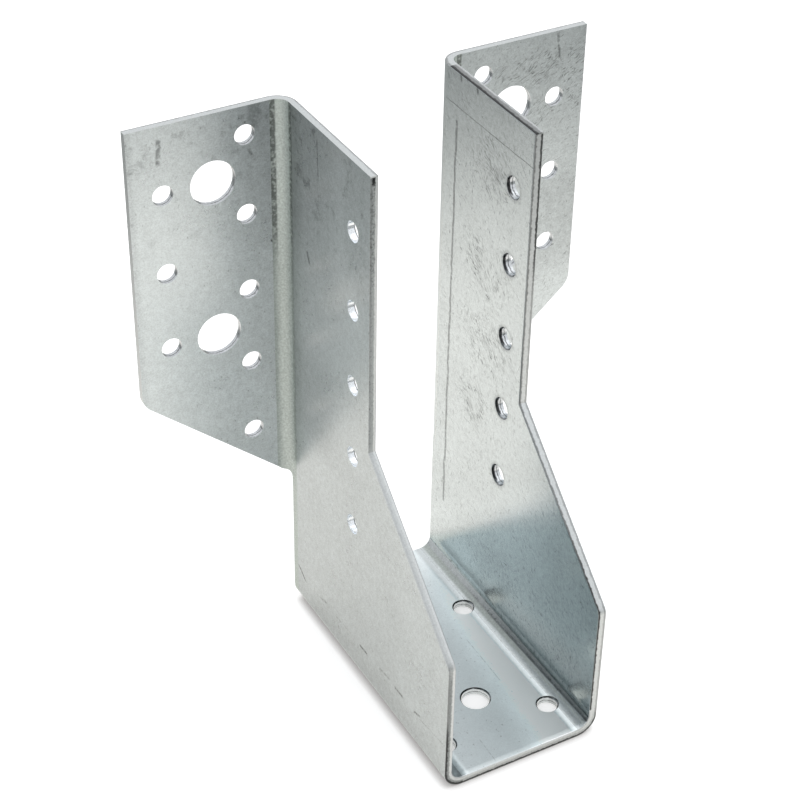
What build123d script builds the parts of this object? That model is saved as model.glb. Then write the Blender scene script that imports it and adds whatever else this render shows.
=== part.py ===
from build123d import *
import os
from math import cos, degrees, hypot, pi, radians, sin, tan

os.makedirs("parts", exist_ok=True)

# Joist hanger folded from one blank of galvanised sheet: a seat, two tapered legs and two
# flanges turned outwards. X runs across the hanger and Y along the joist, which comes from -Y
# to the header. The seat is centred on Y = 0 and its underside is Z = 0. All in millimetres.

# Sheet and folds
sheet = 2.0              # thickness of the sheet
seat_fold = 3.0          # inside radius between the seat and a leg
flange_fold = 3.0        # inside radius between a leg and its flange
rollover = 0.35          # edge drawn in by the punch, on the side that faces the joist

# Seat
joist_width = 38.0       # clear width between the legs
seat_depth = 80.0        # header face to the front edge

# Legs
pocket_height = 142.0    # top of the seat to the top edge
leg_top_depth = 42.0     # header face to the front edge, above the slant
slant_foot = 38.0        # height at which the front edge starts to slant back
slant_head = 73.0        # height at which the slant ends
foot_round = 3.0         # radius of the corner under the slant
head_round = 4.0         # radius of the corner over the slant
back_gap = 3.2           # header face to the legs' lower back edge

# Flanges
flange_width = 37.5      # outside of the leg to the flange's edge
flange_tip = 73.0        # height of the flange's lower corner
flange_slope = 41.0      # slope of the flange's lower edge, in degrees
tip_round = 5.0          # radius of the flange's lower corner
relief_slope = 20.0      # slope of the lower edge across the fold, in degrees
relief_round = 2.0       # radius where the lower edge runs into the leg
fold_fade = 3.5          # height over which the fold fades out below the lower edge

# Holes
nail_hole = 5.0
bolt_hole = 11.0
seat_bolt_hole = 7.0
nail_pitch = 20.0        # height between two nails of a column
inner_nails = 5          # nails in a flange's inner column
outer_nails = 3          # nails in a flange's outer column
leg_nails = 5            # nails in a leg
flange_bolts = 2         # bolts in a flange
top_nail_drop = 7.0      # top edge to the highest nail
column_inset = 9.5       # outside of the leg to the inner column
column_pitch = 20.0      # inner column to outer column
bolt_shift = 8.0         # inner column to the bolts
leg_nail_inset = 7.5     # front edge of the leg to its nails
seat_nails = 2           # nails along each side of the seat
seat_nail_inset = 4.7    # inside of the leg to the seat's nails
seat_nail_front = 11.0   # front edge of the seat to its first nails
seat_nail_pitch = 40.0
seat_bolt_front = 21.0   # front edge of the seat to the middle hole

# Clearances of the cutting and finding steps
cutter_margin = 1.0      # how far a cutter reaches past the sheet
tolerance = 0.001        # how far a face may lie from its nominal plane

# Faces and lines that follow from the sizes above
header = seat_depth / 2
seat_front = header - seat_depth
leg_front = header - leg_top_depth
leg_back = header - back_gap
leg_inside = joist_width / 2
leg_outside = leg_inside + sheet
flange_edge = leg_outside + flange_width
height = sheet + pocket_height
inner_column = leg_outside + column_inset
outer_column = inner_column + column_pitch
bolt_column = inner_column + bolt_shift
inner_row = height - top_nail_drop
outer_row = inner_row - nail_pitch / 2
seat_nail_x = leg_inside - seat_nail_inset
leg_nail_y = leg_front + leg_nail_inset
seat_nail_y = seat_front + seat_nail_front
punch_depth = sheet + cutter_margin

# Places of the holes, flange holes as seen from the header and leg holes as seen from the joist
flange_nails = [(-inner_column, inner_row - nail_pitch * row) for row in range(inner_nails)]
flange_nails += [(-outer_column, outer_row - nail_pitch * row) for row in range(outer_nails)]
flange_bolt_spots = [(-bolt_column, outer_row - 2 * nail_pitch * row) for row in range(flange_bolts)]
leg_nail_spots = [(-leg_nail_y, outer_row - nail_pitch * row) for row in range(leg_nails)]
seat_nail_spots = [(seat_nail_x, seat_nail_y + seat_nail_pitch * row) for row in range(seat_nails)]

# The fold between leg and flange, and the relief corner laid out on the unrolled sheet: the
# lower edge slopes less across the fold than on the flange, and ends in an upright arc
fold_x = leg_outside + flange_fold
fold_y = header - sheet - flange_fold
fold_middle = flange_fold + sheet / 2
slope = radians(flange_slope)
slope_at_fold = flange_tip - (flange_edge - fold_x) * tan(slope)
slope_in_fold = radians(relief_slope)
relief_run = fold_middle * pi / 2 + fold_y - leg_back
relief_corner = slope_at_fold - relief_run * tan(slope_in_fold)
relief_sweep = pi / 2 - slope_in_fold
relief_end = relief_corner - relief_round * tan(relief_sweep / 2)
relief_turn = pi / 2 - relief_run / fold_middle
fade_end = relief_end - fold_fade


# Plane of the header's face, seen from the joist
header_plane = Plane.XZ.offset(-header)


def fold_plane(run: float) -> Plane:
    """Plane square to the sheet, a distance along the fold towards the leg from the flange."""
    turn = pi / 2 - run / fold_middle
    return Plane(
        origin=(fold_x, fold_y, 0),
        x_dir=(-cos(turn), sin(turn), 0),
        z_dir=(sin(turn), cos(turn), 0),
    )


def joist_side(face: Face) -> bool:
    """Tell whether a face belongs to the side of the sheet that joist and header touch."""
    centre = face.center()
    if face.geom_type == GeomType.PLANE:
        normal = face.normal_at()
        on_seat = normal.Z > 0.9 and abs(centre.Z - sheet) < tolerance
        on_leg = normal.X < -0.9 and abs(centre.X - leg_inside) < tolerance
        on_flange = normal.Y > 0.9 and abs(centre.Y - header) < tolerance
        return on_seat or on_leg or on_flange
    if face.geom_type == GeomType.CYLINDER:
        in_seat_fold = centre.X < leg_inside and centre.Z > sheet
        out_of_fold = hypot(centre.X - fold_x, centre.Y - fold_y)
        in_flange_fold = centre.X < fold_x and centre.Y > fold_y and out_of_fold > fold_middle
        return in_seat_fold or in_flange_fold
    at_fade = centre.Y > fold_y and fade_end < centre.Z < relief_end
    return at_fade and centre.X < (leg_inside + leg_outside) / 2


def rim(faces: ShapeList[Face]) -> ShapeList[Edge]:
    """Edges that only one of the faces has, apart from those in the plane of symmetry."""
    edges = [edge for face in faces for edge in face.edges()]
    once = [edge for edge in edges if sum(edge.is_same(other) for other in edges) == 1]
    return ShapeList(edge for edge in once if edge.center().X > tolerance)


with BuildPart() as hanger:
    # Half the seat and one leg in front view, run along the joist
    with BuildSketch(header_plane):
        with BuildLine():
            outside = FilletPolyline(
                (0, 0), (leg_outside, 0), (leg_outside, height), radius=seat_fold + sheet
            )
            inside = FilletPolyline(
                (0, sheet), (leg_inside, sheet), (leg_inside, height), radius=seat_fold
            )
            Line(outside @ 0, inside @ 0)
            Line(outside @ 1, inside @ 1)
        make_face()
    extrude(amount=seat_depth)

    # Outline of the leg from the side
    with BuildSketch(Plane.YZ) as side:
        with BuildLine():
            Polyline(
                (leg_back, 0),
                (seat_front, 0),
                (seat_front, slant_foot),
                (leg_front, slant_head),
                (leg_front, height),
                (fold_y, height),
                (fold_y, fade_end),
                (leg_back, fade_end),
                close=True,
            )
        make_face()
        slant_corners = side.vertices().group_by(Axis.X)
        fillet(slant_corners[0].sort_by(Axis.Y)[-1], radius=foot_round)
        fillet(slant_corners[1].sort_by(Axis.Y)[0], radius=head_round)
    extrude(amount=leg_outside, mode=Mode.INTERSECT)

    # Fold between leg and flange, with the relief corner cut square to the sheet
    with BuildSketch(Plane.XY.offset(relief_end)):
        with BuildLine():
            back = CenterArc((fold_x, fold_y), flange_fold + sheet, 90, 90)
            front = CenterArc((fold_x, fold_y), flange_fold, 90, 90)
            Line(back @ 0, front @ 0)
            Line(back @ 1, front @ 1)
        make_face()
    extrude(amount=height - relief_end)
    relief_steps = [(0, slope_at_fold)]
    for step in range(5):
        angle = relief_sweep * (4 - step) / 4
        relief_steps.append(
            (relief_run - relief_round * (1 - cos(angle)), relief_end + relief_round * sin(angle))
        )
    for run, top in relief_steps:
        with BuildSketch(fold_plane(run)):
            with Locations((fold_middle, (top + relief_end - cutter_margin) / 2)):
                Rectangle(sheet + 2 * cutter_margin, top - relief_end + cutter_margin)
    loft(mode=Mode.SUBTRACT)

    # Strip of the leg behind the fold's line, bent at its top and flat at its foot
    with BuildSketch(Plane.XY.offset(relief_end)):
        with BuildLine():
            bent_back = CenterArc((fold_x, fold_y), flange_fold + sheet, 180, -degrees(relief_turn))
            bent_front = CenterArc((fold_x, fold_y), flange_fold, 180, -degrees(relief_turn))
            Line(bent_back @ 0, bent_front @ 0)
            Line(bent_back @ 1, bent_front @ 1)
        make_face()
    with BuildSketch(Plane.XY.offset(fade_end)):
        with Locations(((leg_inside + leg_outside) / 2, (fold_y + leg_back) / 2)):
            Rectangle(sheet, leg_back - fold_y)
    loft(ruled=True)

    # Flange
    with BuildSketch(header_plane) as flange:
        with BuildLine():
            Polyline(
                (fold_x, slope_at_fold),
                (flange_edge, flange_tip),
                (flange_edge, height),
                (fold_x, height),
                close=True,
            )
        make_face()
        fillet(flange.vertices().group_by(Axis.X)[-1].sort_by(Axis.Y)[0], radius=tip_round)
    extrude(amount=sheet)

    # Edges drawn in by the punch
    fillet(rim(hanger.faces().filter_by(joist_side)), radius=rollover)

    # Nail and bolt holes of the flange, punched from the header's side
    with Locations(Plane(origin=(0, header, 0), x_dir=(-1, 0, 0), z_dir=(0, 1, 0))):
        with Locations(*flange_nails):
            CounterSinkHole(nail_hole / 2, nail_hole / 2 + rollover, punch_depth, 90)
        with Locations(*flange_bolt_spots):
            CounterSinkHole(bolt_hole / 2, bolt_hole / 2 + rollover, punch_depth, 90)

    # Nail holes of the leg, punched from the joist's side
    with Locations(Plane(origin=(leg_inside, 0, 0), x_dir=(0, -1, 0), z_dir=(-1, 0, 0))):
        with Locations(*leg_nail_spots):
            CounterSinkHole(nail_hole / 2, nail_hole / 2 + rollover, punch_depth, 90)

    # Nail holes of the seat, both halves, and the hole in the middle of the seat
    with Locations(Plane.XY.offset(sheet)):
        with Locations(*seat_nail_spots):
            CounterSinkHole(nail_hole / 2, nail_hole / 2 + rollover, punch_depth, 90)
    mirror(about=Plane.YZ)
    with Locations((0, seat_front + seat_bolt_front, sheet)):
        CounterSinkHole(seat_bolt_hole / 2, seat_bolt_hole / 2 + rollover, punch_depth, 90)

hanger.part.label = "joist_hanger"
export_step(hanger.part, "parts/joist_hanger.step")
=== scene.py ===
import logging
import math
from dataclasses import dataclass, field
from enum import Enum
from typing import Any, Optional, Union

import bpy
from mathutils import Matrix, Vector

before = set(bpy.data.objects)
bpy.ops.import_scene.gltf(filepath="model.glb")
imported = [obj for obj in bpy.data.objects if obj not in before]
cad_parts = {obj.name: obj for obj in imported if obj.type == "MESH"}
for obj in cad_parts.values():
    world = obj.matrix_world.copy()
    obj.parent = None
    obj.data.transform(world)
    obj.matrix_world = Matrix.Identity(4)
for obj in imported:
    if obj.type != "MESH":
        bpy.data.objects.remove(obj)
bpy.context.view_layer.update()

LOG = logging.getLogger("joist_hanger")
TO_MILLIMETRES = 1000.0
Value = Union["Wire", float]
Plug = Union[str, int]
Pair = tuple[float, float]
Colour = tuple[float, float, float, float]
WHITE: Colour = (1.0, 1.0, 1.0, 1.0)


@dataclass(eq=False)
class Wire:
    """One output of a shader node, with the sums that are done on it."""

    graph: "Graph"
    socket: bpy.types.NodeSocket

    def math(self, operation: str, *others: Value, clamp: bool = False) -> "Wire":
        """Add a Math node whose first value is this wire."""
        return self.graph.math(operation, self, *others, clamp=clamp)

    def __add__(self, other: Value) -> "Wire":
        """Add."""
        return self.math("ADD", other)

    def __radd__(self, other: float) -> "Wire":
        """Add, with the number first."""
        return self.math("ADD", other)

    def __sub__(self, other: Value) -> "Wire":
        """Subtract."""
        return self.math("SUBTRACT", other)

    def __rsub__(self, other: float) -> "Wire":
        """Subtract this from a number."""
        return self.graph.math("SUBTRACT", other, self)

    def __mul__(self, other: Value) -> "Wire":
        """Multiply."""
        return self.math("MULTIPLY", other)

    def __rmul__(self, other: float) -> "Wire":
        """Multiply, with the number first."""
        return self.math("MULTIPLY", other)

    def __neg__(self) -> "Wire":
        """Change the sign."""
        return self.math("MULTIPLY", -1.0)

    def __abs__(self) -> "Wire":
        """Drop the sign."""
        return self.math("ABSOLUTE")

    def __gt__(self, other: Value) -> "Wire":
        """Give 1 where this is greater, else 0."""
        return self.math("GREATER_THAN", other)

    def __lt__(self, other: Value) -> "Wire":
        """Give 1 where this is less, else 0."""
        return self.math("LESS_THAN", other)

    def between(self, low: float, high: float) -> "Wire":
        """Give 1 between two numbers, else 0."""
        return (self > low) * (self < high)

    def max(self, other: Value) -> "Wire":
        """Take the greater of two values."""
        return self.math("MAXIMUM", other)

    def min(self, other: Value) -> "Wire":
        """Take the lesser of two values."""
        return self.math("MINIMUM", other)

    def ramp(self, low: float, high: float) -> "Wire":
        """Rise smoothly from 0 at one value to 1 at another, which may be the lower one.

        Args:
            low: The value that gives 0.
            high: The value that gives 1.

        Returns:
            A mask from 0 to 1.
        """
        settings = {"interpolation_type": "SMOOTHSTEP"}
        values = {"Value": self, "From Min": low, "From Max": high}
        return self.graph.node("ShaderNodeMapRange", settings, values)

    def spread(self, low: float, high: float) -> "Wire":
        """Stretch 0 to 1 over a wider or narrower range of values.

        Args:
            low: The result for 0.
            high: The result for 1.

        Returns:
            The stretched value.
        """
        return self * (high - low) + low


@dataclass(frozen=True)
class Noise:
    """A noise pattern: its scale, its octaves and how strong the finer octaves are."""

    scale: float
    detail: float
    roughness: float = 0.5


@dataclass
class Graph:
    """A node tree that is being written, such as a material's."""

    tree: bpy.types.NodeTree

    def node(
        self,
        kind: str,
        settings: Optional[dict[str, Any]] = None,
        values: Optional[dict[Plug, Any]] = None,
        out: Plug = 0,
    ) -> Wire:
        """Add any node.

        Args:
            kind: The node's type.
            settings: Its options, such as an operation.
            values: Values or wires for its inputs, by name or by place.
            out: The output that is wanted.

        Returns:
            That output.
        """
        made = self.tree.nodes.new(kind)
        for name, value in (settings or {}).items():
            setattr(made, name, value)
        for name, value in (values or {}).items():
            socket = made.inputs[name]
            if isinstance(value, Wire):
                self.tree.links.new(value.socket, socket)
            else:
                socket.default_value = value
        return Wire(self, made.outputs[out])

    def math(self, operation: str, *values: Value, clamp: bool = False) -> Wire:
        """Add a Math node.

        Args:
            operation: Its operation.
            values: Its values, in order.
            clamp: Whether the result is kept from 0 to 1.

        Returns:
            Its result.
        """
        settings = {"operation": operation, "use_clamp": clamp}
        return self.node("ShaderNodeMath", settings, dict(enumerate(values)))

    def vector(self, operation: str, *values: Any, out: Plug = 0) -> Wire:
        """Add a Vector Math node.

        Args:
            operation: Its operation.
            values: Its values, in order.
            out: The output that is wanted.

        Returns:
            That output.
        """
        return self.node("ShaderNodeVectorMath", {"operation": operation}, dict(enumerate(values)), out)

    def dot(self, vector: Wire, x: float, y: float) -> Wire:
        """Measure how far a place lies along a direction in its wall."""
        return self.vector("DOT_PRODUCT", vector, (x, y, 0.0), out="Value")

    def split(self, vector: Wire) -> tuple[Wire, ...]:
        """Take a vector's three values."""
        first = self.node("ShaderNodeSeparateXYZ", {}, {0: vector})
        return tuple(Wire(self, socket) for socket in first.socket.node.outputs)

    def combine(self, x: Value, y: Value, z: Value = 0.0) -> Wire:
        """Make a vector of three values."""
        return self.node("ShaderNodeCombineXYZ", {}, {0: x, 1: y, 2: z})

    def length(self, x: Value, y: Value) -> Wire:
        """Measure the long side of a right-angled triangle from its short sides."""
        return self.vector("LENGTH", self.combine(x, y), out="Value")

    def mix(self, factor: Value, first: Any, second: Any, blend: str = "MIX") -> Wire:
        """Mix two colours.

        Args:
            factor: How much of the second colour shows.
            first: The first colour.
            second: The second colour.
            blend: How they are mixed.

        Returns:
            The mixed colour.
        """
        settings = {"data_type": "RGBA", "blend_type": blend}
        return self.node("ShaderNodeMix", settings, {0: factor, 6: first, 7: second}, 2)

    def noise(self, place: Wire, noise: Noise) -> Wire:
        """Add a noise texture.

        Args:
            place: Where it is read.
            noise: Its pattern.

        Returns:
            Its value less a half, so about 0 on average.
        """
        values = {"Vector": place, "Scale": noise.scale, "Detail": noise.detail, "Roughness": noise.roughness}
        return self.node("ShaderNodeTexNoise", {"noise_dimensions": "3D"}, values) - 0.5

    def finish(self, kind: str, shader: Wire) -> None:
        """Give the tree its output node, with the shader in its surface."""
        made = self.tree.nodes.new(kind)
        self.tree.links.new(shader.socket, made.inputs["Surface"])


class Wall(Enum):
    """The walls of the hanger that carry marks and shades."""

    LEFT_LEG = "left leg, outside"
    LEFT_OUTSIDE = "left leg, fold and flange, outside"
    RIGHT_LEG = "right leg, inside"
    LEFT_FLANGE = "left flange, front"
    RIGHT_FLANGE = "right flange, front"
    SEAT_TOP = "seat, top"


class Axis(Enum):
    """The ways in which a place on the sheet is measured."""

    X = "x"
    Y = "y"
    Z = "z"
    RUN = "run"


@dataclass(frozen=True)
class Mark:
    """A scratch or a die's line: start and end on its wall, width, darkness and how broken it is."""

    wall: Wall
    start: Pair
    end: Pair
    width: float = 0.25
    dark: float = 0.4
    broken: float = 0.5


MARKS = (
    Mark(Wall.RIGHT_LEG, (30.3, 132.0), (30.5, 21.6), 0.75, 0.55, 0.1),
    Mark(Wall.RIGHT_LEG, (29.2, 144.0), (29.0, 142.4), 0.9, 0.5, 0.1),
    Mark(Wall.RIGHT_LEG, (21.9, 144.0), (21.6, 142.6), 0.9, 0.55, 0.1),
    Mark(Wall.RIGHT_LEG, (31.2, 33.5), (31.3, 26.0), 0.45, 0.7, 0.8),
    Mark(Wall.RIGHT_LEG, (22.6, 127.0), (22.2, 111.5), 0.28, 0.5, 0.5),
    Mark(Wall.RIGHT_LEG, (36.0, 135.6), (-2.0, 135.5), 0.2, 0.7, 0.3),
    Mark(Wall.RIGHT_LEG, (19.3, 61.0), (17.5, 52.5), 0.5, 0.3, 0.9),
    Mark(Wall.RIGHT_LEG, (10.0, 40.6), (5.0, 38.4), 0.3, 0.3, 0.7),
    Mark(Wall.RIGHT_LEG, (-16.2, 16.0), (-23.0, 12.6), 0.25, 0.55, 0.6),
    Mark(Wall.RIGHT_FLANGE, (50.6, 145.2), (51.2, 135.9), 0.7, 0.55, 0.5),
    Mark(Wall.LEFT_FLANGE, (-50.8, 140.8), (-51.2, 134.8), 0.9, 0.55, 0.3),
    Mark(Wall.LEFT_LEG, (21.8, 141.4), (21.5, 131.0), 0.4, 0.6, 0.3),
    Mark(Wall.LEFT_LEG, (27.4, 110.0), (26.2, 107.6), 0.8, 0.6, 0.2),
    Mark(Wall.LEFT_LEG, (34.2, 12.9), (30.4, 10.2), 0.55, 0.8, 0.3),
    Mark(Wall.LEFT_LEG, (22.6, 10.9), (18.5, 12.0), 0.5, 0.5, 0.4),
    Mark(Wall.LEFT_LEG, (14.5, 11.4), (5.3, 12.1), 0.25, 0.4, 0.5),
    Mark(Wall.LEFT_LEG, (1.4, 12.0), (-2.4, 11.8), 0.6, 0.75, 0.3),
    Mark(Wall.LEFT_LEG, (-8.7, 12.5), (-13.7, 13.0), 0.5, 0.5, 0.5),
    Mark(Wall.LEFT_LEG, (-16.1, 12.6), (-19.8, 12.5), 0.7, 0.65, 0.3),
    Mark(Wall.LEFT_LEG, (-25.2, 12.6), (-28.1, 13.2), 0.7, 0.65, 0.3),
    Mark(Wall.LEFT_LEG, (-28.1, 12.4), (-39.5, 13.9), 0.25, 0.45, 0.4),
    Mark(Wall.LEFT_FLANGE, (-24.6, 108.6), (-24.2, 108.0), 0.5, 0.9, 0.0),
    Mark(Wall.LEFT_FLANGE, (-28.4, 143.6), (-28.1, 138.0), 2.6, 0.35, 0.3),
    Mark(Wall.LEFT_FLANGE, (-29.5, 133.4), (-29.1, 131.2), 0.8, 0.45, 0.4),
    Mark(Wall.LEFT_FLANGE, (-44.0, 138.2), (-31.0, 137.6), 0.35, 0.35, 0.9),
    Mark(Wall.SEAT_TOP, (8.8, -0.2), (8.5, -16.5), 0.18, 0.3, 0.4),
    Mark(Wall.SEAT_TOP, (-6.4, -31.7), (-6.6, -39.0), 0.18, 0.3, 0.4),
)


@dataclass(frozen=True)
class Scuff:
    """A patch where short scratches lie close together: its wall, middle and reach."""

    wall: Wall
    middle: Pair
    reach: Pair


SCUFFS = (
    Scuff(Wall.RIGHT_FLANGE, (45.0, 135.0), (18.0, 6.5)),
    Scuff(Wall.RIGHT_FLANGE, (45.0, 123.6), (9.0, 5.5)),
    Scuff(Wall.RIGHT_FLANGE, (56.0, 131.0), (5.0, 12.0)),
    Scuff(Wall.RIGHT_LEG, (14.0, 128.0), (11.0, 11.0)),
    Scuff(Wall.RIGHT_LEG, (16.0, 100.0), (13.0, 11.0)),
    Scuff(Wall.RIGHT_LEG, (14.0, 80.0), (14.0, 11.0)),
    Scuff(Wall.RIGHT_LEG, (18.0, 61.0), (9.0, 10.0)),
)


@dataclass(frozen=True)
class Streaks:
    """Short scratches that all run one way over a wall: slope in degrees, pattern, darkness and size."""

    wall: Wall
    angle: float
    seed: float
    dark: float
    long: float = 1.8
    wide: float = 0.26
    sway: float = 3.5


STREAKS = (
    Streaks(Wall.RIGHT_FLANGE, 31.0, 3.1, 0.52),
    Streaks(Wall.RIGHT_LEG, 26.0, 7.7, 0.42),
    Streaks(Wall.RIGHT_LEG, 58.0, 12.4, 0.42),
)


@dataclass(frozen=True)
class Limit:
    """A soft end of a shade: the axis, the place where the shade is out and the place where it is full."""

    axis: Axis
    out: float
    full: float


@dataclass(frozen=True)
class Shade:
    """An area of one wall painted lighter or darker than the rest: painted light and shade."""

    wall: Wall
    tone: float
    limits: tuple[Limit, ...] = ()


# Painted light and shade over areas of the walls
SHADES = (
    Shade(Wall.LEFT_LEG, -0.22),
    Shade(Wall.LEFT_LEG, 0.08, (Limit(Axis.Y, -8.0, -28.0),)),
    Shade(Wall.LEFT_LEG, -0.07, (Limit(Axis.Z, 14.0, 6.0),)),
    Shade(Wall.LEFT_LEG, -0.12, (Limit(Axis.Z, 90.0, 78.0), Limit(Axis.Z, 54.0, 64.0), Limit(Axis.Y, 8.0, 24.0))),
    Shade(Wall.LEFT_LEG, -0.1, (Limit(Axis.Y, 12.0, 6.0), Limit(Axis.Z, 108.0, 122.0))),
    Shade(Wall.LEFT_OUTSIDE, 0.12, (Limit(Axis.RUN, 48.0, 70.0),)),
    Shade(Wall.LEFT_OUTSIDE, -0.12, (Limit(Axis.RUN, 73.4, 75.2),)),
    Shade(Wall.RIGHT_FLANGE, -0.15, (Limit(Axis.Z, 72.0, 86.0), Limit(Axis.Z, 110.0, 98.0))),
    Shade(Wall.SEAT_TOP, -0.2, (Limit(Axis.Y, 8.0, 26.0), Limit(Axis.X, 4.0, 15.0))),
)


@dataclass
class FoldedSheet:
    """Where a point lies on the folded sheet, in millimetres.

    The sheet's depth is 0 on the side of the joist and the header, and the thickness on the other side. A part of it
    between the two is an edge or the wall of a hole.
    """

    graph: Graph
    thickness: float = 2.0
    leg_inside: float = 19.0
    fold: float = 3.0
    header: float = 40.0
    height: float = 144.0
    fade_end: float = 36.5
    relief_end: float = 40.0
    flange_edge: float = 58.5
    flange_foot: float = 75.5
    flange_slope: float = 0.869
    seat_zone: float = 20.0
    touch: float = 0.06
    fold_margin: float = 0.4
    outside_depth: Pair = (1.5, 1.9)
    bend_rise: float = 0.012

    # Places with holes
    leg_holes_side: float = 21.2
    leg_holes_y: Pair = (1.5, 10.0)
    leg_holes_z: Pair = (40.0, 140.0)
    flange_holes_side: Pair = (25.0, 55.5)
    flange_holes_top: float = 141.5
    seat_holes_side: float = 18.0
    seat_holes_y: Pair = (-36.0, 36.0)
    seat_holes_top: float = 2.3

    # Dishes round the nail holes of the right leg
    dish_y: float = 5.5
    dish_z: float = 47.0
    dish_pitch: float = 20.0
    dish_radius: Pair = (3.9, 2.7)
    dishes_z: Pair = (40.0, 135.0)

    # Soft sides and ends of marks, how they waver and break off, how streaks sway, soft ends of patches
    mark_sides: Pair = (0.8, 0.25)
    mark_ends: Pair = (0.6, -0.4)
    mark_breaks: Pair = (-0.45, -0.05)
    patch_ends: Pair = (1.0, 0.4)
    wavering: Noise = Noise(0.35, 0.0)
    waver_height: float = 0.9
    breaking: Noise = Noise(1.1, 1.0)
    swaying: Noise = Noise(0.22, 1.0)
    streaking: Noise = Noise(1.0, 2.0)

    def __post_init__(self) -> None:
        """Work out the places, the depth and the walls."""
        graph = self.graph
        read = graph.node("ShaderNodeTexCoord", out="Object")
        self.place = graph.node("ShaderNodeVectorMath", {"operation": "SCALE"}, {0: read, "Scale": TO_MILLIMETRES})
        self.x, self.y, self.z = graph.split(self.place)
        self.side = abs(self.x)
        leg_outside = self.leg_inside + self.thickness
        corner_x = leg_outside + self.fold
        corner_y = self.header - self.fold - self.thickness
        self.depth = self._measure_depth(corner_x, corner_y)
        self.run = self.y + (self.side - leg_outside).max(0.0)
        self.axes = {Axis.X: self.x, Axis.Y: self.y, Axis.Z: self.z, Axis.RUN: self.run}
        self.in_flange_fold = (self.side < corner_x + self.fold_margin) * (self.y > corner_y - self.fold_margin)
        self.inside = self.near(self.side, self.leg_inside)
        flange_front = self.near(self.y, self.header - self.thickness)
        seat_top = (self.side < self.leg_inside - self.fold) * self.near(self.z, self.thickness)
        self.walls = {
            Wall.LEFT_LEG: (self.x < 0.0) * self.near(self.side, leg_outside),
            Wall.LEFT_OUTSIDE: (self.x < 0.0) * self.depth.ramp(*self.outside_depth),
            Wall.RIGHT_LEG: (self.x > 0.0) * self.inside,
            Wall.LEFT_FLANGE: (self.x < -corner_x) * flange_front,
            Wall.RIGHT_FLANGE: (self.x > corner_x) * flange_front,
            Wall.SEAT_TOP: seat_top,
        }
        leg, flange, seat = (graph.combine(*pair) for pair in ((self.y, self.z), (self.x, self.z), (self.x, self.y)))
        self.maps = {
            Wall.LEFT_LEG: leg,
            Wall.RIGHT_LEG: leg,
            Wall.LEFT_FLANGE: flange,
            Wall.RIGHT_FLANGE: flange,
            Wall.SEAT_TOP: seat,
        }
        self.waver = graph.noise(self.place, self.wavering) * self.waver_height
        self.pieces = graph.noise(self.place, self.breaking)
        self.sway = graph.noise(self.place, self.swaying)

    def _measure_depth(self, corner_x: float, corner_y: float) -> Wire:
        """Measure how deep a point lies in the sheet.

        Args:
            corner_x: Where the flanges' folds have their centre, to the side.
            corner_y: Where they have it, along the joist.

        Returns:
            The depth.
        """
        reach = self.fold + self.thickness
        bent = reach - self.graph.length((corner_x - self.side).max(0.0), (self.y - corner_y).max(0.0))
        flat = self.side - self.leg_inside
        fading = (self.z - self.fade_end).math("DIVIDE", self.relief_end - self.fade_end, clamp=True)
        upper = bent + (self.side < corner_x) * (1.0 - fading) * (flat - bent)
        inner = self.leg_inside - self.fold
        lower = self.graph.length((self.side - inner).max(0.0), (reach - self.z).max(0.0)) - self.fold
        return upper + (self.z < self.seat_zone) * (lower - upper)

    def near(self, value: Wire, place: float) -> Wire:
        """Give 1 where a value is close to a number, else 0."""
        return abs(value - place) < self.touch

    def sheared(self) -> Wire:
        """Mask the sheared edges and the walls of the holes."""
        strict = self.depth.ramp(0.02, 0.08) * self.depth.ramp(self.thickness - 0.02, self.thickness - 0.06)
        loose = self.depth.ramp(0.3, 0.4) * self.depth.ramp(self.thickness - 0.3, self.thickness - 0.4)
        fading = (self.y > self.header - 5.2) * self.z.between(self.fade_end - 0.5, self.relief_end + 0.5)
        return strict + fading * (loose - strict)

    def holes(self) -> Wire:
        """Mask the parts of the sheet that have no sheared edge but the holes' walls."""
        leg = (self.side < self.leg_holes_side) * self.y.between(*self.leg_holes_y) * self.z.between(*self.leg_holes_z)
        slope = (self.z - self.flange_foot) > (self.side - self.flange_edge) * self.flange_slope
        flange = self.side.between(*self.flange_holes_side) * (self.z < self.flange_holes_top) * slope
        seat = (self.z < self.seat_holes_top) * self.y.between(*self.seat_holes_y) * (self.side < self.seat_holes_side)
        return leg.max(flange).max(seat)

    def hollow(self) -> Wire:
        """Mask the hollow side of the folds between legs and flanges."""
        return self.in_flange_fold * self.depth.ramp(self.thickness - 0.1, self.thickness - 0.03)

    def joist_side(self) -> Wire:
        """Mask the side of the sheet that faces joist and header."""
        return self.depth.ramp(0.1, 0.04)

    def bend(self) -> Wire:
        """Measure the height in the seat's folds, whose lines run a little higher at the front."""
        return self.z + self.y * self.bend_rise

    def streaks(self, streaks: Streaks) -> Wire:
        """Draw short scratches that all run one way.

        Args:
            streaks: The scratches.

        Returns:
            A value about 0 on average, with thin streaks above and below.
        """
        graph, place = self.graph, self.maps[streaks.wall]
        turn = math.radians(streaks.angle)
        along = graph.dot(place, math.cos(turn), math.sin(turn))
        across = graph.dot(place, -math.sin(turn), math.cos(turn)) + self.sway * streaks.sway
        stretched = graph.combine(along * (1 / streaks.long), across * (1 / streaks.wide), streaks.seed)
        return graph.noise(stretched, self.streaking)

    def patch(self, scuff: Scuff) -> Wire:
        """Mask one patch of scratches, 1 in its middle and 0 outside."""
        local = self.graph.vector("SUBTRACT", self.maps[scuff.wall], (*scuff.middle, 0.0))
        local = self.graph.vector("DIVIDE", local, (*scuff.reach, 1.0))
        return self.graph.vector("LENGTH", local, out="Value").ramp(*self.patch_ends)

    def shade(self, shade: Shade) -> Wire:
        """Give how much lighter or darker one shade makes a point."""
        tone = self.walls[shade.wall] * shade.tone
        for limit in shade.limits:
            tone = tone * self.axes[limit.axis].ramp(limit.out, limit.full)
        return tone

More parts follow.
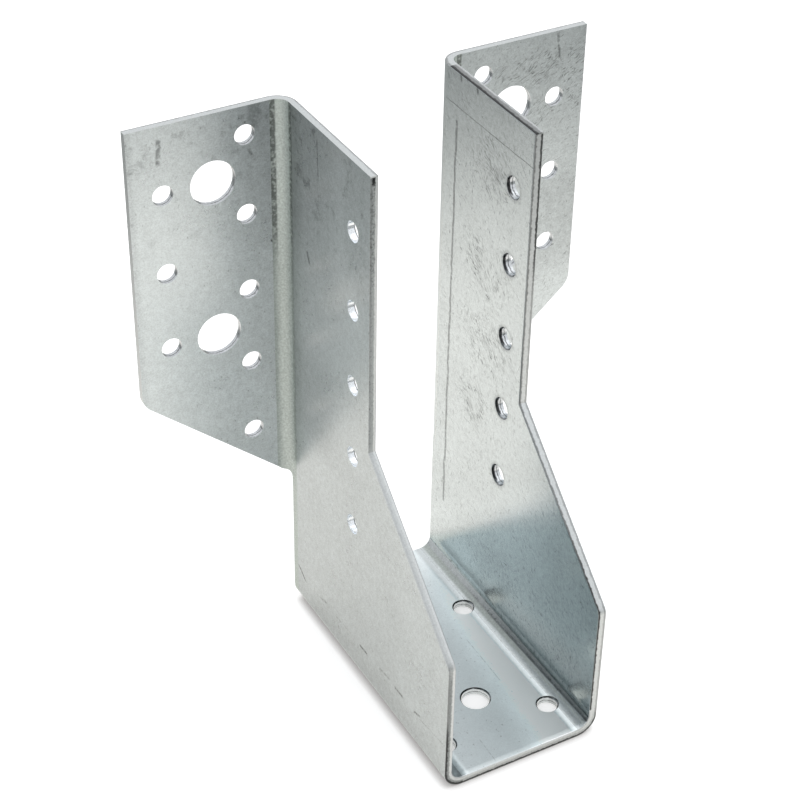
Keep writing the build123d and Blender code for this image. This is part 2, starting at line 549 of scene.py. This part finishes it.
    def dishes(self) -> Wire:
        """Mask the shallow dishes round the nail holes of the right leg."""
        half = self.dish_pitch / 2
        row = self.graph.math("WRAP", self.z - self.dish_z, half, -half)
        ring = self.graph.length(self.y - self.dish_y, row).ramp(*self.dish_radius)
        return ring * self.walls[Wall.RIGHT_LEG] * self.z.between(*self.dishes_z)

    def mark(self, mark: Mark) -> Wire:
        """Draw one mark.

        Args:
            mark: The mark.

        Returns:
            How dark it is at a point, from 0 to 1.
        """
        graph = self.graph
        start, end = Vector(mark.start), Vector(mark.end)
        way = (end - start).normalized()
        half = (end - start).length / 2
        local = graph.vector("SUBTRACT", self.maps[mark.wall], (*((start + end) / 2), 0.0))
        across = graph.dot(local, -way.y, way.x) + self.waver * mark.width
        line = abs(across).ramp(*(share * mark.width for share in self.mark_sides))
        line = line * abs(graph.dot(local, way.x, way.y)).ramp(*(half + past for past in self.mark_ends))
        whole = (self.pieces - 0.5 * mark.broken).ramp(*self.mark_breaks)
        return line * whole * self.walls[mark.wall] * mark.dark


@dataclass(frozen=True)
class ZincSkin:
    """Galvanised skin of the sheet: clouds, speckles, scratches and lines, with painted light, shade and reflections.

    A pair ending in an axis gives the places, in millimetres, between which a value changes.
    """

    clean: Colour = (0.60, 0.645, 0.66, 1.0)
    # Cooler tint of the seat's painted reflection in the right leg
    painted_reflection_tint: Colour = (0.555, 0.65, 0.665, 1.0)
    roughness: float = 0.3
    metallic: float = 0.92
    marks: tuple[Mark, ...] = MARKS
    scuffs: tuple[Scuff, ...] = SCUFFS
    streaks: tuple[Streaks, ...] = STREAKS
    shades: tuple[Shade, ...] = SHADES

    # Clouds, speckles, grain, single dark specks and fine scratches: pattern, strength and change of roughness
    clouds: Noise = Noise(0.09, 3.0, 0.55)
    cloud: float = 0.18
    cloud_dull: float = 0.08
    speckles: Noise = Noise(0.8, 3.0, 0.6)
    speckle: float = 0.4
    speckle_dull: float = 0.12
    grain: float = 0.54
    specks: Noise = Noise(1.5, 1.0)
    speck: float = 0.35
    speck_faint: float = 0.6
    speck_tall: float = 0.45
    speck_ends: Pair = (0.19, 0.27)
    scuffing: Noise = Noise(0.3, 2.0, 0.6)
    scuff_ends: Pair = (-0.12, 0.12)
    scuff_tone: Pair = (0.04, 0.1)
    scratch_ends: Pair = (0.13, 0.22)

    # Painted shade: inside of the left leg, dishes round the nail holes, foot of the outside; gloss of the right leg
    hidden_leg_shade: float = -0.25
    dish_shade: float = 0.3
    leg_dull: float = -0.08
    foot_shade: float = 0.4
    foot_shade_depth: Pair = (1.85, 1.97)
    foot_z: Pair = (4.8, 2.4)

    # The seat's painted reflection in the lower part of the right leg
    image_slope: float = 0.83
    image_edge: float = 35.5
    image_sharp: Pair = (0.55, 0.22)
    image_y: Pair = (34.0, -16.0)
    image_head: float = -0.08
    image_foot: float = -0.34
    image_z: Pair = (34.0, 10.0)
    image_rear: float = 0.2
    rear_y: Pair = (6.0, 20.0)
    image_front: float = -0.04
    front_y: Pair = (6.0, -34.0)

    # The lighter zone over that reflection and the lightest strip along its edge: painted reflection of the bright
    # room
    over: float = 0.06
    over_ends: tuple[Pair, Pair] = ((36.0, 46.0), (84.0, 60.0))
    strip: float = 0.12
    strip_ends: tuple[Pair, Pair] = ((35.5, 38.5), (50.0, 42.0))

    # Top of the seat: painted light that makes it lighter, its grain and gloss, and a painted reflection across it
    seat: float = 0.44
    seat_grain: float = 0.5
    seat_dull: float = 0.07
    across_reflection: Pair = (-0.25, 0.4)
    across_x: Pair = (2.5, 17.0)
    across_slope: float = 0.1
    across_side: Pair = (14.8, 13.6)

    # Dark stains of the left flange and leg, and the painted shade beside the fold between them
    stains: Noise = Noise(0.3, 4.0, 0.65)
    stain: float = 0.25
    stain_ends: Pair = (0.06, 0.2)
    stain_z: Pair = (100.0, 136.0)
    fold_shade: float = 0.16
    fold_shade_run: float = 31.0
    fold_shade_reach: Pair = (26.0, 6.0)
    fold_shade_z: Pair = (62.0, 138.0)

    # Hollow of the seat's folds, painted shade: line in the valley, shade over it, bright strip before it toned down
    valley: float = 0.16
    valley_z: float = 3.1
    valley_ragged: float = 0.6
    valley_width: Pair = (0.4, 0.1)
    valley_side: float = 17.5
    shade: float = 0.5
    shade_z: Pair = (6.2, 3.4)
    shade_foot: Pair = (2.7, 2.95)
    shade_side: float = 17.0
    plateau: float = 0.3
    plateau_side: tuple[Pair, Pair] = ((14.0, 15.2), (16.6, 15.6))
    plateau_y: Pair = (-34.0, 16.0)
    plateau_back: Pair = (0.2, 1.0)
    forward_y: Pair = (26.0, -6.0)
    forward: Pair = (0.5, 1.0)

    def paint(self, graph: Graph, sheet: FoldedSheet, fine: Wire) -> tuple[Wire, Wire]:
        """Colour the skin.

        Args:
            graph: The material's graph.
            sheet: The places on the sheet.
            fine: The fine grain.

        Returns:
            Its colour and its roughness.
        """
        cloud = graph.noise(sheet.place, self.clouds)
        speckle = graph.noise(sheet.place, self.speckles)
        seat = sheet.walls[Wall.SEAT_TOP]
        seat_reflection = self._painted_seat_reflection(sheet)
        tone = cloud * self.cloud
        tone = tone + (speckle * self.speckle + fine * self.grain) * seat.spread(1.0, self.seat_grain)
        # Painted shade on the inside of the left leg, which the right leg mirrors
        tone = tone + sheet.inside * (sheet.x < 0.0) * self.hidden_leg_shade
        # Painted reflections of the seat and the bright room on the right leg's inside
        tone = tone + sheet.walls[Wall.RIGHT_LEG] * self._right_leg_reflections(sheet, seat_reflection)
        # Painted light makes the seat's top lighter; painted shade darkens the dishes round the right leg's nail holes
        tone = 1.0 + tone + seat * self.seat - sheet.dishes() * self.dish_shade
        # Painted reflection across the seat's top, darker on the left and lighter on the right
        across = (sheet.x - sheet.y * self.across_slope).ramp(*self.across_x).spread(*self.across_reflection)
        tone = tone * (1.0 + seat * sheet.side.ramp(*self.across_side) * across)
        # Painted light and shade over areas of the walls
        tone = sum((sheet.shade(shade) for shade in self.shades), start=tone)
        tone = tone - self._scratches(graph, sheet) - self._stains_and_fold_shade(graph, sheet) - self._specks(graph, sheet)
        # Painted shade at the foot of the outside, where it mirrors the floor's shadow
        tone = tone - sheet.depth.ramp(*self.foot_shade_depth) * sheet.z.ramp(*self.foot_z) * self.foot_shade
        for mark in self.marks:
            tone = tone * (1.0 - sheet.mark(mark))
        # Painted shade in the hollow of the seat's folds
        tone = tone - self._seat_folds(sheet, fine)
        rough = self.roughness + speckle * self.speckle_dull + cloud * self.cloud_dull
        rough = rough + seat * self.seat_dull + sheet.walls[Wall.RIGHT_LEG] * self.leg_dull
        # The seat's painted reflection in the right leg takes the cooler tint
        tint = graph.mix(sheet.walls[Wall.RIGHT_LEG] * seat_reflection, self.clean, self.painted_reflection_tint)
        return graph.mix(1.0, tint, tone, "MULTIPLY"), rough

    def _reflection_height(self, sheet: FoldedSheet) -> Wire:
        """Measure the height on the right leg, square to the edge of the seat's painted reflection."""
        return sheet.z + sheet.y * self.image_slope

    def _painted_seat_reflection(self, sheet: FoldedSheet) -> Wire:
        """Mask the seat's painted reflection in the right leg, sharp at the back and soft at the front."""
        sharp = sheet.y.ramp(*self.image_y).spread(*self.image_sharp)
        return ((self._reflection_height(sheet) - self.image_edge) * sharp).ramp(1.0, -1.0)

    def _right_leg_reflections(self, sheet: FoldedSheet, seat_reflection: Wire) -> Wire:
        """Give the tone of the right leg's inside: the seat's painted reflection, and the bright room's painted
        reflection over it.
        """
        tone = sheet.z.ramp(*self.image_z).spread(self.image_head, self.image_foot)
        tone = tone + sheet.y.ramp(*self.rear_y) * self.image_rear
        tone = seat_reflection * (tone + sheet.y.ramp(*self.front_y) * self.image_front)
        height = self._reflection_height(sheet)
        for value, (low, high) in ((self.over, self.over_ends), (self.strip, self.strip_ends)):
            tone = tone + height.ramp(*low) * height.ramp(*high) * value
        return tone

    def _scratches(self, graph: Graph, sheet: FoldedSheet) -> Wire:
        """Draw the fine scratches, which lie close together in the scuffed patches."""
        thick = graph.noise(sheet.place, self.scuffing).ramp(*self.scuff_ends).spread(*self.scuff_tone)
        tone = 0.0
        for streaks in self.streaks:
            dense = sum((sheet.patch(scuff) for scuff in self.scuffs if scuff.wall is streaks.wall), start=0.0)
            streak = (sheet.streaks(streaks) + dense.min(1.0) * thick).ramp(*self.scratch_ends)
            tone = tone + streak * sheet.walls[streaks.wall] * streaks.dark
        return tone

    def _stains_and_fold_shade(self, graph: Graph, sheet: FoldedSheet) -> Wire:
        """Stain the left flange and leg, and paint shade beside the fold between them; both are darkest at the top."""
        stain = graph.noise(sheet.place, self.stains).ramp(*self.stain_ends) * sheet.z.ramp(*self.stain_z)
        # Painted shade beside the fold, darker towards the top
        fold_shade = abs(sheet.run - self.fold_shade_run).ramp(*self.fold_shade_reach) * sheet.z.ramp(*self.fold_shade_z)
        return sheet.walls[Wall.LEFT_OUTSIDE] * (stain * self.stain + fold_shade * self.fold_shade)

    def _specks(self, graph: Graph, sheet: FoldedSheet) -> Wire:
        """Scatter upright dark specks, fainter on the left leg."""
        tall = graph.vector("MULTIPLY", sheet.place, (1.0, 1.0, self.speck_tall))
        clear = 1.0 - sheet.walls[Wall.LEFT_LEG] * self.speck_faint
        return graph.noise(tall, self.specks).ramp(*self.speck_ends) * clear * self.speck

    def _seat_folds(self, sheet: FoldedSheet, fine: Wire) -> Wire:
        """Paint shade on the hollow side of the folds between seat and legs.

        Args:
            sheet: The places on the sheet.
            fine: The fine grain.

        Returns:
            How much darker the sheet is there.
        """
        bend = sheet.bend()
        valley = abs(bend - self.valley_z + fine * self.valley_ragged).ramp(*self.valley_width)
        valley = valley * (sheet.side > self.valley_side)
        shade = sheet.z.ramp(*self.shade_z) * bend.ramp(*self.shade_foot) * (sheet.side > self.shade_side)
        rise, fall = self.plateau_side
        back = sheet.y.ramp(*self.plateau_y).spread(*self.plateau_back)
        plateau = sheet.side.ramp(*rise) * sheet.side.ramp(*fall) * back
        forward = sheet.y.ramp(*self.forward_y).spread(*self.forward)
        tone = forward * (valley * self.valley + shade * self.shade) + plateau * self.plateau
        return tone * sheet.joist_side()


@dataclass(frozen=True)
class FoldBand:
    """Grainy band that the folding tool leaves in the hollow of a fold."""

    colour: Colour = (0.495, 0.54, 0.52, 1.0)
    roughness: float = 0.55
    grains: Noise = Noise(2.1, 2.0, 0.6)
    grain: float = 0.9

    # The thin band at the seat's folds, and the lighter upper end of the flanges' bands
    foot: float = 0.06
    foot_cover: float = 0.85
    foot_side: Pair = (16.4, 17.1)
    foot_top: Pair = (3.0, 2.75)
    foot_low: Pair = (2.08, 2.4)
    head: float = 0.16
    head_z: Pair = (98.0, 126.0)

    # The broken dark lines: one on the flange's side of the fold, one on the leg's
    line: float = 0.65
    line_depth: Pair = (1.7, 1.95)
    line_foot: float = 46.0
    leg_line_run: float = 34.8
    leg_line_width: Pair = (0.9, 0.3)
    leg_line_z: Pair = (92.0, 128.0)
    leg_line_tone: Pair = (0.4, 1.0)
    flange_line_side: float = 23.75
    flange_line_width: Pair = (0.85, 0.45)
    flange_line_z: Pair = (98.0, 116.0)
    breaks: Pair = (0.2, 0.6)

    def paint(self, graph: Graph, sheet: FoldedSheet, skin: Wire, rough: Wire) -> tuple[Wire, Wire]:
        """Lay the band over the skin.

        Args:
            graph: The material's graph.
            sheet: The places on the sheet.
            skin: The skin's colour.
            rough: The skin's roughness.

        Returns:
            The colour and the roughness with the band.
        """
        foot = sheet.joist_side() * sheet.side.ramp(*self.foot_side) * sheet.z.ramp(*self.foot_top)
        foot = foot * sheet.bend().ramp(*self.foot_low) * self.foot_cover
        band = sheet.hollow().max(foot)
        coarse = graph.noise(sheet.place, self.grains)
        tone = 1.0 + coarse * self.grain - foot * self.foot + sheet.z.ramp(*self.head_z) * self.head
        grain = graph.mix(1.0, self.colour, tone, "MULTIPLY")
        colour = graph.mix(1.0, graph.mix(band, skin, grain), 1.0 - self._lines(sheet) * self.line, "MULTIPLY")
        return colour, rough + band * (self.roughness - rough)

    def _lines(self, sheet: FoldedSheet) -> Wire:
        """Draw the broken dark lines on both sides of the flanges' folds."""
        leg = abs(sheet.run - self.leg_line_run).ramp(*self.leg_line_width)
        leg = leg * sheet.z.ramp(*self.leg_line_z).spread(*self.leg_line_tone)
        flange = abs(sheet.side - self.flange_line_side).ramp(*self.flange_line_width) * sheet.in_flange_fold
        flange = flange * sheet.z.ramp(*self.flange_line_z)
        lines = leg.max(flange) * sheet.depth.ramp(*self.line_depth) * (sheet.z > self.line_foot)
        return lines * (sheet.pieces + 0.5).ramp(*self.breaks)


@dataclass
class EdgeZones:
    """Masks of the zones in which the sheared edges look different."""

    graph: Graph
    sheet: FoldedSheet
    tearing: Noise = Noise(1.1, 3.0, 0.65)
    tear_height: float = 0.9
    top_ends: Pair = (0.5, 0.2)
    flange_y: float = 34.0
    leg_side: float = 16.0
    foot_z: Pair = (8.0, 3.0)
    slant_foot: Pair = (36.0, 41.0)
    slant_head: Pair = (76.0, 71.0)
    inner_depth: tuple[Pair, Pair] = ((0.02, 0.1), (0.5, 0.3))

    def __post_init__(self) -> None:
        """Write the masks."""
        sheet = self.sheet
        self.ragged = sheet.depth + self.graph.noise(sheet.place, self.tearing) * self.tear_height
        self.holes = sheet.holes()
        self.top = sheet.z.ramp(*(sheet.height - end for end in self.top_ends))
        self.stirrup = sheet.y < self.flange_y
        self.front = (1.0 - self.top) * (1.0 - self.holes) * self.stirrup
        self.left = sheet.x < -self.leg_side
        self.right = sheet.x > self.leg_side
        self.right_leg = self.stirrup * self.right
        self.slant = sheet.z.ramp(*self.slant_foot) * sheet.z.ramp(*self.slant_head)
        self.foot = sheet.z.ramp(*self.foot_z)
        start, end = self.inner_depth
        self.inner = sheet.depth.ramp(*start) * self.ragged.ramp(*end)


@dataclass(frozen=True)
class ShearedEdge:
    """Sheared edge: smooth, then torn, with dark lines between and beside them, and the holes' walls."""

    smooth: Colour = (0.575, 0.602, 0.612, 1.0)
    wall: Colour = (0.85, 0.89, 0.93, 1.0)
    seat_wall: Colour = (0.56, 0.6, 0.63, 1.0)
    torn: Colour = (0.15, 0.16, 0.162, 1.0)
    middle: Colour = (0.4, 0.425, 0.43, 1.0)
    smooth_roughness: float = 0.35
    torn_roughness: float = 0.55
    wall_roughness: float = 0.2

    # Torn surface: its start in the sheet's depth, its shares, its blotches
    torn_depth: Pair = (0.65, 0.95)
    slant_smooth: float = 0.62
    foot_torn: float = 0.55
    blotches: Noise = Noise(1.9, 3.0, 0.65)
    blotch_ends: Pair = (-0.24, 0.12)
    blotch_z: Pair = (128.0, 110.0)
    blotch_low: float = 0.1

    # Changes of brightness: grain, painted shade in the holes, and a painted highlight along the top
    grain: float = 0.5
    right_hole_shade: float = 0.25
    flange_hole_shade: float = 0.3
    top_highlight: float = 0.16

    # Painted shade along the outer rim of the front edges, fainter in the middle and on the slant. On the left leg it
    # is shifted near the seat and fainter above.
    line: float = 0.85
    line_depth: float = 1.7
    line_width: Pair = (0.36, 0.16)
    line_shift: float = 0.1
    shift_z: Pair = (30.0, 24.0)
    line_head_z: Pair = (100.0, 116.0)
    line_tone: Pair = (0.45, 1.0)
    left_faint: float = 0.7
    faint_z: Pair = (30.0, 40.0)

    # Darker torn side, and a wide outer line of painted shade, low on the left leg
    low_torn: float = 0.3
    low_torn_z: Pair = (37.0, 33.0)
    low_torn_depth: Pair = (0.8, 1.1)
    wide_z: Pair = (26.0, 16.0)
    wide_width: Pair = (0.5, 0.2)

    # Inner line of the right leg, and of the flanges
    inner_line: float = 0.6
    inner_low: float = 0.3
    inner_low_z: Pair = (60.0, 40.0)
    inner_foot: float = 7.0
    flange_line: float = 0.5

    # Lines along the top: two on the right leg, one elsewhere, and the black corner of the left leg
    top_inner: float = 0.4
    top_inner_depth: Pair = (0.8, 0.5)
    top_outer: float = 0.5
    top_outer_depth: Pair = (1.7, 1.3)
    top_left: float = 0.35
    top_left_depth: Pair = (0.75, 0.45)
    corner: float = 0.9
    corner_z: Pair = (142.3, 143.0)
    corner_top: float = 143.8
    corner_depth: tuple[Pair, Pair] = ((0.7, 0.95), (1.8, 1.4))

    # Walls of the holes: burrs, and painted shade at the rim and in the dark crescent at the back of a hole
    seat_hole_z: float = 3.0
    burr_and_rim_shade: float = 0.6
    burr_depth: float = 1.25
    burr_width: Pair = (0.2, 0.08)
    rim_depth: Pair = (0.4, 0.2)
    crescent: float = 0.94
    crescent_depth: Pair = (0.8, 0.5)
    crescent_thin: float = 0.25
    crescent_turn: Pair = (0.1, 0.5)

    def paint(self, graph: Graph, sheet: FoldedSheet, skin: Wire, rough: Wire, fine: Wire) -> tuple[Wire, Wire]:
        """Colour the sheared edges and the walls of the holes.

        Args:
            graph: The material's graph.
            sheet: The places on the sheet.
            skin: The colour beside them.
            rough: The roughness beside them.
            fine: The fine grain.

        Returns:
            The colour and the roughness with the edges.
        """
        zones = EdgeZones(graph, sheet)
        blotch = graph.noise(sheet.place, self.blotches) + sheet.z.ramp(*self.blotch_z) * self.blotch_low
        blotch = blotch.ramp(*self.blotch_ends)
        torn = zones.left * (1.0 - zones.slant * self.slant_smooth)
        torn = zones.ragged.ramp(*self.torn_depth) * zones.front * torn.max(zones.foot * self.foot_torn)
        # Painted shade in the holes of the right leg and the flanges
        hole_shade = zones.right_leg * self.right_hole_shade + (1.0 - zones.stirrup) * self.flange_hole_shade
        # Painted highlight along the top edges, but not on the right leg
        highlight = zones.top * (1.0 - zones.right_leg) * self.top_highlight
        bright = 1.0 + fine * self.grain - zones.holes * hole_shade + highlight
        hole_wall = graph.mix(sheet.z < self.seat_hole_z, self.wall, self.seat_wall)
        even = graph.mix(1.0, graph.mix(zones.holes, self.smooth, hole_wall), bright, "MULTIPLY")
        colour = graph.mix(torn, even, graph.mix(blotch, self.torn, self.middle))
        line = self._front_lines(sheet, zones).max(self._inner_lines(sheet, zones))
        line = line.max(self._top_lines(sheet, zones, blotch)).max(self._hole_lines(graph, sheet, zones))
        colour = graph.mix(1.0, colour, 1.0 - line, "MULTIPLY")
        sheared = sheet.sheared()
        finish = self.smooth_roughness + torn * (self.torn_roughness - self.smooth_roughness)
        finish = finish + zones.holes * (self.wall_roughness - self.smooth_roughness)
        return graph.mix(sheared, skin, colour), rough + sheared * (finish - rough)

    def _front_lines(self, sheet: FoldedSheet, zones: EdgeZones) -> Wire:
        """Draw the dark lines of painted shade along the front edges of legs and seat.

        Args:
            sheet: The places on the sheet.
            zones: The zones of the edges.

        Returns:
            How dark they are.
        """
        left_front = zones.left * zones.front
        outer = zones.ragged - self.line_depth
        shifted = outer + zones.left * sheet.z.ramp(*self.shift_z) * self.line_shift
        ends = zones.foot.max(sheet.z.ramp(*self.line_head_z)) * (1.0 - zones.slant)
        # Painted shade along the outer rim of the front edges
        line = abs(shifted).ramp(*self.line_width) * zones.front * ends.spread(*self.line_tone) * self.line
        line = line * (1.0 - zones.left * sheet.z.ramp(*self.faint_z) * self.left_faint)
        torn = sheet.z.ramp(*self.low_torn_z) * zones.ragged.ramp(*self.low_torn_depth) * self.low_torn
        wide = sheet.z.ramp(*self.wide_z) * abs(outer).ramp(*self.wide_width) * self.line
        return line.max(left_front * torn).max(left_front * wide)

    def _inner_lines(self, sheet: FoldedSheet, zones: EdgeZones) -> Wire:
        """Draw the dark lines along the inner side of the right leg's front and of the flanges' edges."""
        dark = sheet.z.ramp(*self.inner_low_z) * self.inner_low + self.inner_line
        leg = zones.front * zones.right * (sheet.z > self.inner_foot) * dark
        flange = (1.0 - zones.stirrup) * (1.0 - zones.holes) * self.flange_line
        return zones.inner * leg.max(flange)

    def _top_lines(self, sheet: FoldedSheet, zones: EdgeZones, blotch: Wire) -> Wire:
        """Draw the dark lines along the top, and the black corner of the left leg."""
        right = zones.ragged.ramp(*self.top_inner_depth) * self.top_inner
        right = right + zones.ragged.ramp(*self.top_outer_depth) * self.top_outer
        left = zones.ragged.ramp(*self.top_left_depth) * self.top_left
        line = zones.top * (zones.right_leg * right).max((1.0 - zones.right_leg) * left)
        inner, outer = self.corner_depth
        corner = zones.left * zones.front * (sheet.z + blotch).ramp(*self.corner_z) * (sheet.z < self.corner_top)
        return line.max(corner * zones.ragged.ramp(*inner) * zones.ragged.ramp(*outer) * self.corner)

    def _hole_lines(self, graph: Graph, sheet: FoldedSheet, zones: EdgeZones) -> Wire:
        """Draw the burrs in the holes, and painted shade at their rim and in the dark crescent at their back, on the
        wall that faces the front.

        Args:
            graph: The material's graph.
            sheet: The places on the sheet.
            zones: The zones of the edges.

        Returns:
            How dark they are.
        """
        ragged = zones.ragged
        burr_and_rim_shade = abs(ragged - self.burr_depth).ramp(*self.burr_width) * (1.0 - zones.left * zones.stirrup)
        # Painted shade at the rim of the holes, as strong as the burrs
        burr_and_rim_shade = burr_and_rim_shade.max(ragged.ramp(*self.rim_depth)) * self.burr_and_rim_shade
        normal = graph.split(graph.node("ShaderNodeTexCoord", out="Normal"))
        # Painted shade in the dark crescent at the back of the holes
        forward = (-normal[1]).ramp(*self.crescent_turn)
        thin = (sheet.z < self.seat_hole_z) * self.crescent_thin
        crescent = forward * (ragged + thin).ramp(*self.crescent_depth)
        crescent = crescent * zones.stirrup * (sheet.x > -zones.leg_side)
        return zones.holes * burr_and_rim_shade.max(crescent * self.crescent)


@dataclass
class HangerFinish:
    """The galvanised sheet's material, laid over the CAD node."""

    zinc: ZincSkin = field(default_factory=ZincSkin)
    band: FoldBand = field(default_factory=FoldBand)
    edge: ShearedEdge = field(default_factory=ShearedEdge)
    fine: Noise = Noise(3.2, 2.0, 0.6)
    lip: float = 0.26
    lip_y: Pair = (-40.4, -38.3)
    lip_z: Pair = (6.0, 3.0)
    hollow: float = 0.83
    hollow_side: Pair = (14.5, 18.1)
    hollow_z: Pair = (7.0, 2.9)
    hollow_depth: Pair = (0.2, 0.1)
    grain: float = 0.01

    def build(self) -> bpy.types.Material:
        """Write the material.

        Returns:
            The material.
        """
        made = bpy.data.materials.new("galvanised_sheet")
        made.use_nodes = True
        made.node_tree.nodes.clear()
        graph = Graph(made.node_tree)
        sheet = FoldedSheet(graph)
        fine = graph.noise(sheet.place, self.fine)
        skin, skin_rough = self.zinc.paint(graph, sheet, fine)
        band, band_rough = self.band.paint(graph, sheet, skin, skin_rough)
        colour, rough = self.edge.paint(graph, sheet, band, band_rough, fine)
        bump = {"Strength": 1.0, "Distance": 1 / TO_MILLIMETRES, "Height": self._relief(sheet, fine)}
        values = {
            "Base Color": colour,
            "Metallic": self.zinc.metallic,
            "Roughness": rough,
            "Normal": graph.node("ShaderNodeBump", {}, bump),
        }
        graph.finish("ShaderNodeOutputMaterial", graph.node("ShaderNodeBsdfPrincipled", {}, values))
        return made

    def _relief(self, sheet: FoldedSheet, fine: Wire) -> Wire:
        """Give the relief in millimetres: the drawn-in front lip, the folds' wider hollow and the grain."""
        lip = sheet.y.ramp(*self.lip_y) * sheet.z.ramp(*self.lip_z) * self.lip
        hollow = sheet.side.ramp(*self.hollow_side) * sheet.z.ramp(*self.hollow_z)
        hollow = hollow * sheet.depth.ramp(*self.hollow_depth) * self.hollow
        return lip + hollow + fine * self.grain


@dataclass(frozen=True)
class Light:
    """The white room round the hanger, as the metal mirrors it.

    Reaches on the floor are half widths in metres, and the distances near and far are in millimetres.
    """

    side: float = 0.85
    top: float = 1.5
    top_height: Pair = (0.55, 0.95)
    front: float = 0.1
    front_reach: Pair = (0.0, 0.9)
    # Painted pool of light on the floor, which only the metal's reflections show: bright near the hanger, dark far off
    near: float = 125.0
    far: float = 330.0
    near_tone: Colour = (1.12, 1.08, 1.015, 1.0)
    far_tone: Colour = (0.3, 0.31, 0.3, 1.0)
    paper: Colour = (0.8, 0.8, 0.8, 1.0)
    glow: float = 0.2
    seen_glow: float = 0.42
    # Painted light: the floor under the seat glows brighter in the metal's reflections
    under_glow: float = 0.5
    under_reach: Pair = (0.017, 0.038)
    # Painted contact shadow on the floor: its colour and reach
    contact_shadow: Colour = (0.3, 0.275, 0.265, 1.0)
    contact_shadow_reach: float = 0.0026


@dataclass
class Studio:
    """Floor, surroundings and camera of the photograph, in metres and degrees."""

    light: Light = field(default_factory=Light)
    eye: tuple[float, float, float] = (-0.195858, -0.321028, 0.350449)
    azimuth: float = -29.818026
    elevation: float = 35.815194
    roll: float = 1.076915
    lens: float = 91.484324
    sensor: float = 36.0
    clip: Pair = (0.01, 50.0)
    floor_size: float = 6.0
    floor_level: float = -0.0002

    def camera(self) -> bpy.types.Object:
        """Place the camera where the photograph was taken.

        Returns:
            The camera.
        """
        data = bpy.data.cameras.new("camera")
        data.sensor_width = self.sensor
        data.lens = self.lens
        data.clip_start, data.clip_end = self.clip
        made = bpy.data.objects.new("camera", data)
        turn, tilt, roll = (math.radians(angle) for angle in (self.azimuth, self.elevation, self.roll))
        back = Vector((math.sin(turn) * math.cos(tilt), -math.cos(turn) * math.cos(tilt), math.sin(tilt)))
        level = Vector((math.cos(turn), math.sin(turn), 0.0))
        upright = back.cross(level)
        right = math.cos(roll) * level + math.sin(roll) * upright
        up = back.cross(right)
        made.matrix_world = Matrix.Translation(self.eye) @ Matrix((right, up, back)).transposed().to_4x4()
        bpy.context.scene.collection.objects.link(made)
        bpy.context.scene.camera = made
        return made

    def floor(self) -> bpy.types.Object:
        """Lay the pale floor, which keeps the hanger's shadow.

        Returns:
            The floor.
        """
        half = self.floor_size / 2
        corners = [(-half, -half, 0), (half, -half, 0), (half, half, 0), (-half, half, 0)]
        mesh = bpy.data.meshes.new("floor")
        mesh.from_pydata(corners, [], [(0, 1, 2, 3)])
        made = bpy.data.objects.new("floor", mesh)
        made.location.z = self.floor_level
        bpy.context.scene.collection.objects.link(made)
        mesh.materials.append(self._floor_material())
        return made

    def _floor_material(self) -> bpy.types.Material:
        """Write the floor's paper, which glows a little, with a painted contact shadow and painted light in
        reflections.

        Returns:
            The material.
        """
        material = bpy.data.materials.new("floor")
        material.use_nodes = True
        material.node_tree.nodes.clear()
        graph = Graph(material.node_tree)
        light = self.light
        place = graph.node("ShaderNodeTexCoord", out="Object")
        # Painted pool of light on the floor, for glossy rays only
        fall = (graph.vector("LENGTH", place, out="Value") * TO_MILLIMETRES).ramp(light.near, light.far)
        mirrored = graph.node("ShaderNodeLightPath", out="Is Glossy Ray")
        seen = graph.node("ShaderNodeLightPath", out="Is Camera Ray")
        across, along, _ = graph.split(place)
        half_width, half_length = light.under_reach
        under = (abs(across) < half_width) * (abs(along) < half_length)
        # Painted contact shadow near the hanger, left out under the seat
        shelter = {"Distance": light.contact_shadow_reach, "Color": WHITE}
        open_air = under.max(graph.node("ShaderNodeAmbientOcclusion", {"samples": 8}, shelter, "AO"))
        tint = graph.mix(mirrored, WHITE, graph.mix(fall, light.near_tone, light.far_tone))
        tint = graph.mix(1.0, tint, graph.mix(open_air, light.contact_shadow, WHITE), "MULTIPLY")
        paper = graph.node("ShaderNodeBsdfDiffuse", {}, {"Color": graph.mix(1.0, tint, light.paper, "MULTIPLY")})
        strength = light.glow + seen * (light.seen_glow - light.glow)
        # Painted light under the seat, for glossy rays only
        strength = strength + under * mirrored * (light.under_glow - light.glow)
        glow = graph.node("ShaderNodeEmission", {}, {"Color": tint, "Strength": strength})
        graph.finish("ShaderNodeOutputMaterial", graph.node("ShaderNodeAddShader", {}, {0: paper, 1: glow}))
        return material

    def world(self) -> bpy.types.World:
        """Light the hanger softly from all round.

        Returns:
            The world.
        """
        made = bpy.data.worlds.new("surroundings")
        made.use_nodes = True
        made.node_tree.nodes.clear()
        graph = Graph(made.node_tree)
        light = self.light
        _, north, height = graph.split(graph.node("ShaderNodeTexCoord", out="Generated"))
        strength = height.ramp(*light.top_height).spread(light.side, light.top)
        strength = strength + (-north).ramp(*light.front_reach) * light.front
        seen = graph.node("ShaderNodeLightPath", out="Is Camera Ray")
        strength = strength + seen * (1.0 - strength)
        sky = graph.node("ShaderNodeBackground", {}, {"Color": WHITE, "Strength": strength})
        graph.finish("ShaderNodeOutputWorld", sky)
        bpy.context.scene.world = made
        return made


def main() -> None:
    """Dress the hanger and set the scene."""
    logging.basicConfig(level=logging.INFO, format="%(message)s")
    bpy.context.scene.view_settings.view_transform = "Standard"
    finish = HangerFinish().build()
    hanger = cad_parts["joist_hanger"]
    for slot in hanger.material_slots:
        slot.material = finish
    LOG.info("dressed %s", hanger.name)
    studio = Studio()
    for made in (studio.floor(), studio.world(), studio.camera()):
        LOG.info("made %s", made.name)


if __name__ == "__main__":
    main()
